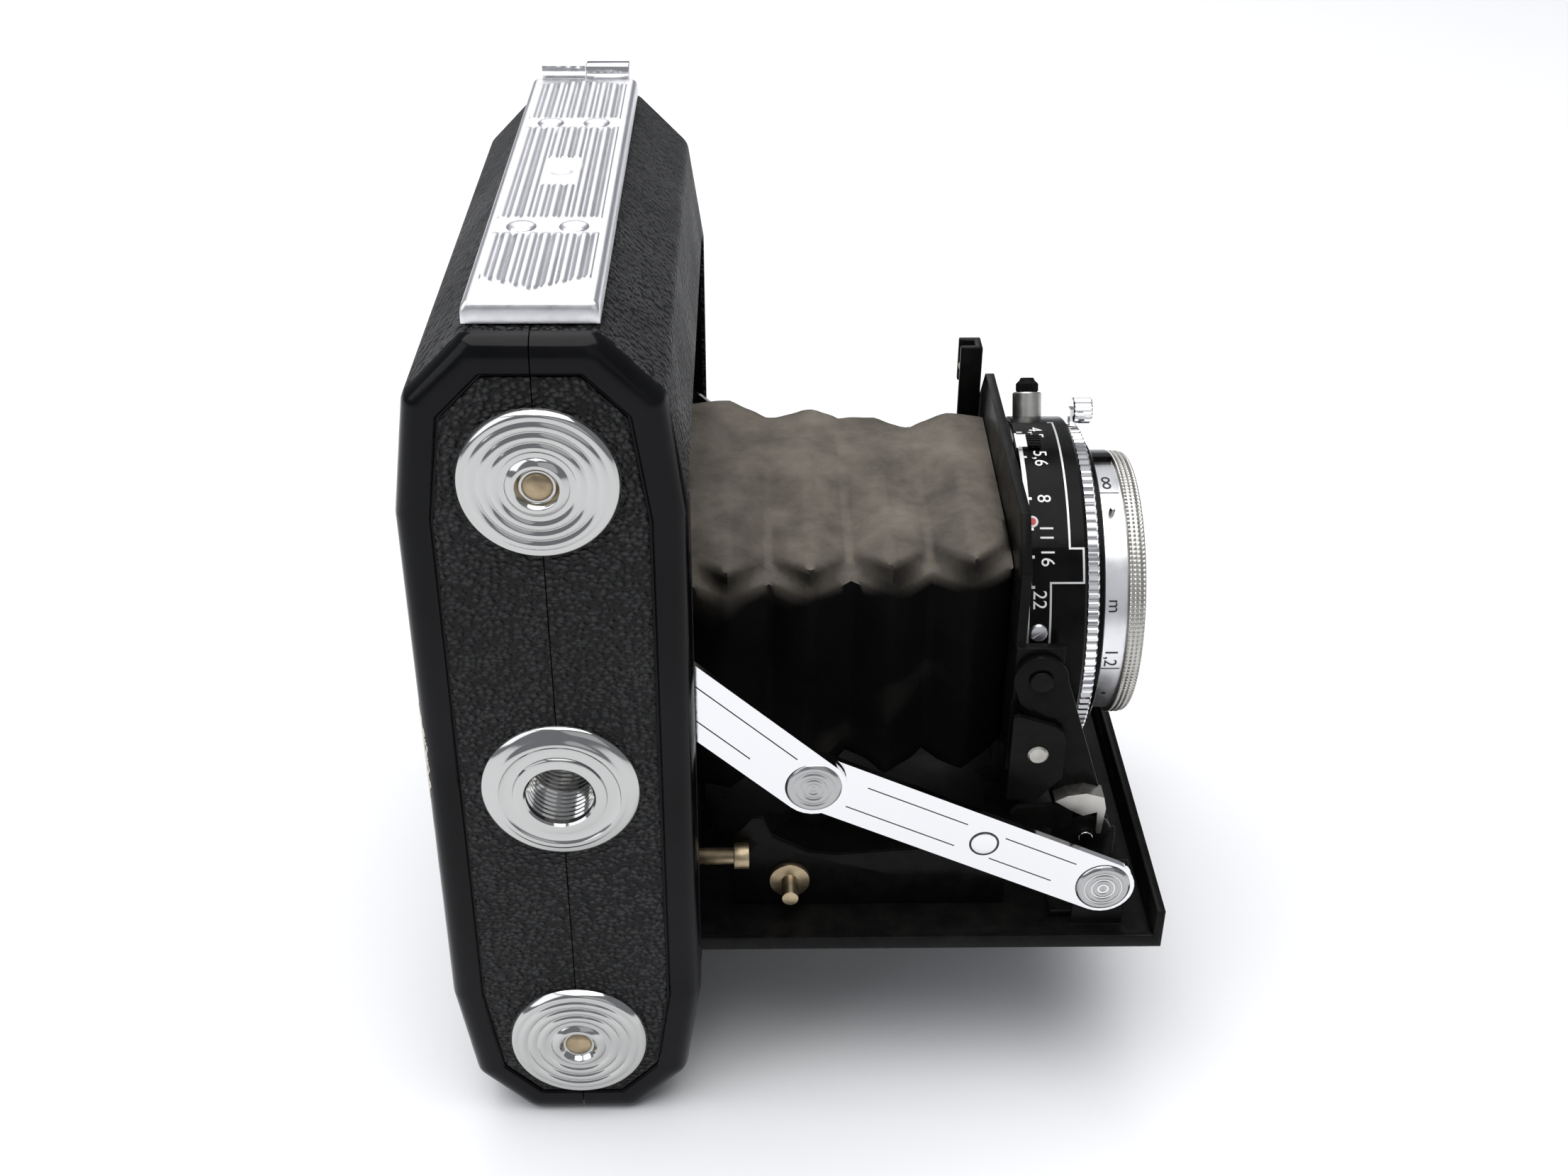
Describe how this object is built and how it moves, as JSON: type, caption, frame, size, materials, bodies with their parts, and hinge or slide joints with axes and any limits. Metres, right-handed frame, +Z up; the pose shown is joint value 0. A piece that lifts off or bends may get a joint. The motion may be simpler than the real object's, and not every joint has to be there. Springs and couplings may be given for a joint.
{
  "type": "folding roll film camera",
  "caption": "Folding roll-film camera with drop bed, pleated bellows, chrome side struts and rim-set shutter.",
  "frame": {"origin": "middle of the end face that the opened camera stands on", "axes": "+X the way the lens looks, -Y the base with the tripod bush, +Z up the long side of the case"},
  "size_m": [0.0958, 0.0953, 0.1188],
  "materials": {
    "black_lacquer": "gloss black lacquer",
    "black_leather": "pebbled black leatherette",
    "chrome": "polished chrome plate",
    "satin_metal": "satin fluted alloy",
    "steel": "bright steel",
    "brass": "tarnished brass",
    "bellows_leather": "soft dusty leather",
    "black_alloy": "black enamelled alloy",
    "scale_enamel": "black enamel with silver figures",
    "lens_glass": "polished glass",
    "red_window": "red celluloid",
    "black_wood": "black stained wood core and steel ends"
  },
  "bodies": {
    "case": {"front_shell": "black_lacquer", "front_leather": "black_leather", "film_gate": "black_alloy", "film_rollers": "steel", "spool_discs": "chrome", "tripod_bush": "chrome", "latch_guides": "steel", "supply_spool_pin": "chrome", "finder_base": "black_lacquer", "bed_hinge_pin": "steel", "rear_strut_pivots": "steel", "back_hinge_pin": "steel", "bellows": "bellows_leather"},
    "back": {"back_door": "black_lacquer", "back_leather": "black_leather", "pressure_plate": "black_lacquer", "pressure_springs": "steel", "film_window": "red_window", "window_frame": "black_lacquer"},
    "window_cover": {"window_cover": "black_lacquer"},
    "latch": {"back_latch": "satin_metal", "latch_rivets": "satin_metal"},
    "take_up": {"take_up_spool": "black_wood"},
    "supply": {"supply_spool": "black_wood"},
    "knob": {"winding_knob": "chrome"},
    "release": {"release_button": "chrome"},
    "bed_catch": {"bed_catch_button": "chrome"},
    "finder_front": {"finder_front_frame": "chrome"},
    "finder_rear": {"finder_rear_frame": "chrome"},
    "bed": {"bed": "black_alloy", "bed_leather": "black_leather", "bed_side_plates": "black_lacquer", "bed_side_fittings": "brass", "carrier_brackets": "black_lacquer", "bed_pivot_pins": "chrome", "leg_bracket": "steel"},
    "rear_struts": {"rear_struts": "chrome", "elbow_rivets": "chrome"},
    "front_struts": {"front_struts": "chrome"},
    "carrier": {"carrier_arms": "black_lacquer"},
    "standard": {"lens_standard": "black_alloy", "release_lug": "black_alloy", "lug_roller": "brass", "standard_pivots": "steel", "shutter_housing": "black_alloy", "front_plate": "black_alloy", "rear_cell": "black_alloy", "rear_glass": "lens_glass", "iris_blades": "black_alloy", "shutter_blades": "steel", "aperture_scale": "scale_enamel", "cable_socket": "satin_metal"},
    "speed_ring": {"speed_ring": "satin_metal"},
    "focus": {"focus_ring": "satin_metal", "front_cell": "black_alloy", "front_glass": "lens_glass"},
    "aperture": {"aperture_lever": "chrome"},
    "cocking": {"cocking_lever": "chrome"},
    "shutter_release": {"release_lever": "chrome"},
    "leg": {"stand_leg": "black_lacquer"}
  },
  "joints": [
    {"name": "bed_fold", "type": "hinge", "parent": "case", "child": "bed", "pos_m": [0.0133, 0, 0.0264], "axis": [0, -1, 0], "range_deg": [0, 90], "deforming": ["bellows"]},
    {"name": "rear_strut_swing", "type": "hinge", "parent": "case", "child": "rear_struts", "pos_m": [0.0069, 0, 0.0719], "axis": [0, 1, 0], "range_deg": [0, 48.3]},
    {"name": "front_strut_swing", "type": "hinge", "parent": "bed", "child": "front_struts", "pos_m": [0.069, 0, 0.0328], "axis": [0, -1, 0], "range_deg": [0, 25]},
    {"name": "carrier_swing", "type": "hinge", "parent": "bed", "child": "carrier", "pos_m": [0.0673, 0, 0.0364], "axis": [0, -1, 0], "range_deg": [0, 60.1]},
    {"name": "standard_swing", "type": "hinge", "parent": "carrier", "child": "standard", "pos_m": [0.0597, 0, 0.0606], "axis": [0, 1, 0], "range_deg": [0, 150.1]},
    {"name": "back_swing", "type": "hinge", "parent": "case", "child": "back", "pos_m": [0, 0, 0.0009], "axis": [0, -1, 0], "range_deg": [0, 92]},
    {"name": "latch_slide", "type": "slide", "parent": "case", "child": "latch", "axis": [0, -1, 0], "range_m": [0, 0.0032]},
    {"name": "window_cover_slide", "type": "slide", "parent": "back", "child": "window_cover", "axis": [0, 0, 1], "range_m": [0, 0.011]},
    {"name": "knob_turn", "type": "hinge", "parent": "case", "child": "knob", "pos_m": [0, 0, 0.0979], "axis": [0, 1, 0], "continuous": true},
    {"name": "take_up_turn", "type": "hinge", "parent": "case", "child": "take_up", "pos_m": [0, 0, 0.0979], "axis": [0, 1, 0], "continuous": true},
    {"name": "supply_turn", "type": "hinge", "parent": "case", "child": "supply", "pos_m": [0, 0, 0.0139], "axis": [0, 1, 0], "continuous": true},
    {"name": "release_press", "type": "slide", "parent": "case", "child": "release", "axis": [0, -1, 0], "range_m": [0, 0.0025], "stiffness_N_per_m": 250, "springref_m": -0.001},
    {"name": "bed_catch_press", "type": "slide", "parent": "case", "child": "bed_catch", "axis": [0, -1, 0], "range_m": [0, 0.0025], "stiffness_N_per_m": 250, "springref_m": -0.001},
    {"name": "finder_front_lift", "type": "hinge", "parent": "case", "child": "finder_front", "pos_m": [0, 0.0451, 0.0421], "axis": [-1, 0, 0], "range_deg": [0, 90]},
    {"name": "finder_rear_lift", "type": "hinge", "parent": "case", "child": "finder_rear", "pos_m": [0, 0.0451, 0.0697], "axis": [1, 0, 0], "range_deg": [0, 90]},
    {"name": "speed_ring_turn", "type": "hinge", "parent": "standard", "child": "speed_ring", "pos_m": [0.0668, 0, 0.0584], "axis": [1, 0, 0], "range_deg": [-40, 60]},
    {"name": "focus_turn", "type": "hinge", "parent": "standard", "child": "focus", "pos_m": [0.07, 0, 0.0584], "axis": [1, 0, 0], "range_deg": [0, 250]},
    {"name": "aperture_lever_swing", "type": "hinge", "parent": "standard", "child": "aperture", "pos_m": [0.06, 0, 0.0584], "axis": [1, 0, 0], "range_deg": [-12, 57]},
    {"name": "cocking_lever_swing", "type": "hinge", "parent": "standard", "child": "cocking", "pos_m": [0.066, 0, 0.0584], "axis": [1, 0, 0], "range_deg": [0, 35], "stiffness_Nm_per_rad": 0.01, "springref_deg": -11.46},
    {"name": "release_lever_swing", "type": "hinge", "parent": "standard", "child": "shutter_release", "pos_m": [0.066, 0, 0.0584], "axis": [1, 0, 0], "range_deg": [0, 14], "stiffness_Nm_per_rad": 0.01, "springref_deg": -11.46},
    {"name": "leg_fold", "type": "hinge", "parent": "bed", "child": "leg", "pos_m": [0.064, 0, 0.0221], "axis": [0, 1, 0], "range_deg": [0, 100]}
  ],
  "couplings": [
    {"joint": "rear_strut_swing", "follows": "bed_fold", "ratio": 0.53556},
    {"joint": "front_strut_swing", "follows": "bed_fold", "ratio": 0.27667},
    {"joint": "carrier_swing", "follows": "bed_fold", "ratio": 0.66667},
    {"joint": "standard_swing", "follows": "bed_fold", "ratio": 1.6667},
    {"joint": "take_up_turn", "follows": "knob_turn", "ratio": 1}
  ]
}
